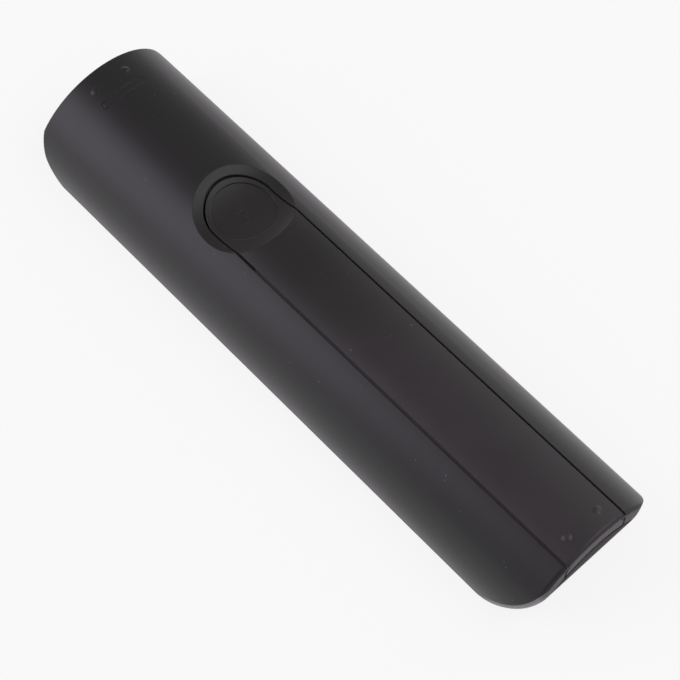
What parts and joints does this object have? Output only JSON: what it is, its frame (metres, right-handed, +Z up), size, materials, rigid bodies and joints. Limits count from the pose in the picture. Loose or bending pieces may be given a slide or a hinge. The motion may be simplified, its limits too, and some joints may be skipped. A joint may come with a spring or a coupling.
{
  "type": "universal remote control",
  "caption": "Handheld infrared remote lying face down: half-tube back with a thumb-scooped sliding battery door, a cap end and a keyed front panel.",
  "frame": {"origin": "middle of the resting rim, under the centre of the handset", "axes": "+Y along the handset towards the infrared end, +Z up through the back, +X across"},
  "size_m": [0.05, 0.2024, 0.027],
  "materials": {
    "shell": "fine-grained black moulding, lightly scuffed",
    "panel": "satin black moulding",
    "window": "dark red infrared-clear plastic",
    "board": "green solder mask",
    "mat": "grey silicone",
    "chip": "black moulded package",
    "capacitor": "sleeved can",
    "emitter": "tinted clear epoxy",
    "indicator": "red clear epoxy",
    "cell": "plain printed jacket",
    "contact": "nickel plated spring steel",
    "screw": "zinc plated",
    "key": "satin grey rubber",
    "red_key": "satin red rubber",
    "green_key": "satin green rubber",
    "yellow_key": "satin yellow rubber",
    "blue_key": "satin blue rubber"
  },
  "bodies": {
    "handset": {"back_shell": "shell", "front_shell": "panel", "ir_window": "window", "circuit_board": "board", "key_mat": "mat", "controller_chip": "chip", "resonator": "contact", "filter_capacitor": "capacitor", "ir_emitter_left": "emitter", "ir_emitter_right": "emitter", "indicator_led": "indicator", "cell_a_lower": "cell", "cell_a_upper": "cell", "cell_b_lower": "cell", "cell_b_upper": "cell", "bridge_contact": "contact", "plus_contact": "contact", "minus_contact": "contact", "board_screws": "screw", "case_screws": "screw"},
    "battery_door": {"battery_door": "shell"},
    "direction_ring": {"direction_ring": "key"},
    "key_power": {"key_power": "red_key"},
    "key_device_1": {"key_device_1": "key"},
    "key_device_2": {"key_device_2": "key"},
    "key_device_3": {"key_device_3": "key"},
    "key_device_4": {"key_device_4": "key"},
    "key_digit_1": {"key_digit_1": "key"},
    "key_digit_2": {"key_digit_2": "key"},
    "key_digit_3": {"key_digit_3": "key"},
    "key_digit_4": {"key_digit_4": "key"},
    "key_digit_5": {"key_digit_5": "key"},
    "key_digit_6": {"key_digit_6": "key"},
    "key_digit_7": {"key_digit_7": "key"},
    "key_digit_8": {"key_digit_8": "key"},
    "key_digit_9": {"key_digit_9": "key"},
    "key_star": {"key_star": "key"},
    "key_digit_0": {"key_digit_0": "key"},
    "key_enter": {"key_enter": "key"},
    "key_menu": {"key_menu": "key"},
    "key_guide": {"key_guide": "key"},
    "key_back": {"key_back": "key"},
    "key_info": {"key_info": "key"},
    "key_mute": {"key_mute": "key"},
    "key_last": {"key_last": "key"},
    "key_red": {"key_red": "red_key"},
    "key_green": {"key_green": "green_key"},
    "key_yellow": {"key_yellow": "yellow_key"},
    "key_blue": {"key_blue": "blue_key"},
    "key_rewind": {"key_rewind": "key"},
    "key_play": {"key_play": "key"},
    "key_forward": {"key_forward": "key"},
    "key_record": {"key_record": "key"},
    "key_stop": {"key_stop": "key"},
    "key_pause": {"key_pause": "key"},
    "key_ok": {"key_ok": "key"},
    "rocker_volume": {"rocker_volume": "key"},
    "rocker_channel": {"rocker_channel": "key"}
  },
  "joints": [
    {"name": "door_slide", "type": "slide", "parent": "handset", "child": "battery_door", "axis": [0, -1, 0], "range_m": [0, 0.15]},
    {"name": "key_power_press", "type": "slide", "parent": "handset", "child": "key_power", "axis": [0, 0, 1], "range_m": [0, 0.0007], "stiffness_N_per_m": 2000},
    {"name": "key_device_1_press", "type": "slide", "parent": "handset", "child": "key_device_1", "axis": [0, 0, 1], "range_m": [0, 0.0007], "stiffness_N_per_m": 2000},
    {"name": "key_device_2_press", "type": "slide", "parent": "handset", "child": "key_device_2", "axis": [0, 0, 1], "range_m": [0, 0.0007], "stiffness_N_per_m": 2000},
    {"name": "key_device_3_press", "type": "slide", "parent": "handset", "child": "key_device_3", "axis": [0, 0, 1], "range_m": [0, 0.0007], "stiffness_N_per_m": 2000},
    {"name": "key_device_4_press", "type": "slide", "parent": "handset", "child": "key_device_4", "axis": [0, 0, 1], "range_m": [0, 0.0007], "stiffness_N_per_m": 2000},
    {"name": "key_digit_1_press", "type": "slide", "parent": "handset", "child": "key_digit_1", "axis": [0, 0, 1], "range_m": [0, 0.0007], "stiffness_N_per_m": 2000},
    {"name": "key_digit_2_press", "type": "slide", "parent": "handset", "child": "key_digit_2", "axis": [0, 0, 1], "range_m": [0, 0.0007], "stiffness_N_per_m": 2000},
    {"name": "key_digit_3_press", "type": "slide", "parent": "handset", "child": "key_digit_3", "axis": [0, 0, 1], "range_m": [0, 0.0007], "stiffness_N_per_m": 2000},
    {"name": "key_digit_4_press", "type": "slide", "parent": "handset", "child": "key_digit_4", "axis": [0, 0, 1], "range_m": [0, 0.0007], "stiffness_N_per_m": 2000},
    {"name": "key_digit_5_press", "type": "slide", "parent": "handset", "child": "key_digit_5", "axis": [0, 0, 1], "range_m": [0, 0.0007], "stiffness_N_per_m": 2000},
    {"name": "key_digit_6_press", "type": "slide", "parent": "handset", "child": "key_digit_6", "axis": [0, 0, 1], "range_m": [0, 0.0007], "stiffness_N_per_m": 2000},
    {"name": "key_digit_7_press", "type": "slide", "parent": "handset", "child": "key_digit_7", "axis": [0, 0, 1], "range_m": [0, 0.0007], "stiffness_N_per_m": 2000},
    {"name": "key_digit_8_press", "type": "slide", "parent": "handset", "child": "key_digit_8", "axis": [0, 0, 1], "range_m": [0, 0.0007], "stiffness_N_per_m": 2000},
    {"name": "key_digit_9_press", "type": "slide", "parent": "handset", "child": "key_digit_9", "axis": [0, 0, 1], "range_m": [0, 0.0007], "stiffness_N_per_m": 2000},
    {"name": "key_star_press", "type": "slide", "parent": "handset", "child": "key_star", "axis": [0, 0, 1], "range_m": [0, 0.0007], "stiffness_N_per_m": 2000},
    {"name": "key_digit_0_press", "type": "slide", "parent": "handset", "child": "key_digit_0", "axis": [0, 0, 1], "range_m": [0, 0.0007], "stiffness_N_per_m": 2000},
    {"name": "key_enter_press", "type": "slide", "parent": "handset", "child": "key_enter", "axis": [0, 0, 1], "range_m": [0, 0.0007], "stiffness_N_per_m": 2000},
    {"name": "key_menu_press", "type": "slide", "parent": "handset", "child": "key_menu", "axis": [0, 0, 1], "range_m": [0, 0.0007], "stiffness_N_per_m": 2000},
    {"name": "key_guide_press", "type": "slide", "parent": "handset", "child": "key_guide", "axis": [0, 0, 1], "range_m": [0, 0.0007], "stiffness_N_per_m": 2000},
    {"name": "key_back_press", "type": "slide", "parent": "handset", "child": "key_back", "axis": [0, 0, 1], "range_m": [0, 0.0007], "stiffness_N_per_m": 2000},
    {"name": "key_info_press", "type": "slide", "parent": "handset", "child": "key_info", "axis": [0, 0, 1], "range_m": [0, 0.0007], "stiffness_N_per_m": 2000},
    {"name": "key_mute_press", "type": "slide", "parent": "handset", "child": "key_mute", "axis": [0, 0, 1], "range_m": [0, 0.0007], "stiffness_N_per_m": 2000},
    {"name": "key_last_press", "type": "slide", "parent": "handset", "child": "key_last", "axis": [0, 0, 1], "range_m": [0, 0.0007], "stiffness_N_per_m": 2000},
    {"name": "key_red_press", "type": "slide", "parent": "handset", "child": "key_red", "axis": [0, 0, 1], "range_m": [0, 0.0007], "stiffness_N_per_m": 2000},
    {"name": "key_green_press", "type": "slide", "parent": "handset", "child": "key_green", "axis": [0, 0, 1], "range_m": [0, 0.0007], "stiffness_N_per_m": 2000},
    {"name": "key_yellow_press", "type": "slide", "parent": "handset", "child": "key_yellow", "axis": [0, 0, 1], "range_m": [0, 0.0007], "stiffness_N_per_m": 2000},
    {"name": "key_blue_press", "type": "slide", "parent": "handset", "child": "key_blue", "axis": [0, 0, 1], "range_m": [0, 0.0007], "stiffness_N_per_m": 2000},
    {"name": "key_rewind_press", "type": "slide", "parent": "handset", "child": "key_rewind", "axis": [0, 0, 1], "range_m": [0, 0.0007], "stiffness_N_per_m": 2000},
    {"name": "key_play_press", "type": "slide", "parent": "handset", "child": "key_play", "axis": [0, 0, 1], "range_m": [0, 0.0007], "stiffness_N_per_m": 2000},
    {"name": "key_forward_press", "type": "slide", "parent": "handset", "child": "key_forward", "axis": [0, 0, 1], "range_m": [0, 0.0007], "stiffness_N_per_m": 2000},
    {"name": "key_record_press", "type": "slide", "parent": "handset", "child": "key_record", "axis": [0, 0, 1], "range_m": [0, 0.0007], "stiffness_N_per_m": 2000},
    {"name": "key_stop_press", "type": "slide", "parent": "handset", "child": "key_stop", "axis": [0, 0, 1], "range_m": [0, 0.0007], "stiffness_N_per_m": 2000},
    {"name": "key_pause_press", "type": "slide", "parent": "handset", "child": "key_pause", "axis": [0, 0, 1], "range_m": [0, 0.0007], "stiffness_N_per_m": 2000},
    {"name": "key_ok_press", "type": "slide", "parent": "handset", "child": "key_ok", "axis": [0, 0, 1], "range_m": [0, 0.0007], "stiffness_N_per_m": 2000},
    {"name": "direction_ring_press", "type": "slide", "parent": "handset", "child": "direction_ring", "axis": [0, 0, 1], "range_m": [0, 0.0007], "stiffness_N_per_m": 2000},
    {"name": "rocker_volume_tilt", "type": "hinge", "parent": "handset", "child": "rocker_volume", "pos_m": [0.013, -0.0423, 0.0046], "axis": [1, 0, 0], "range_deg": [-3, 3], "stiffness_Nm_per_rad": 0.29},
    {"name": "rocker_channel_tilt", "type": "hinge", "parent": "handset", "child": "rocker_channel", "pos_m": [-0.013, -0.0423, 0.0046], "axis": [1, 0, 0], "range_deg": [-3, 3], "stiffness_Nm_per_rad": 0.29}
  ]
}
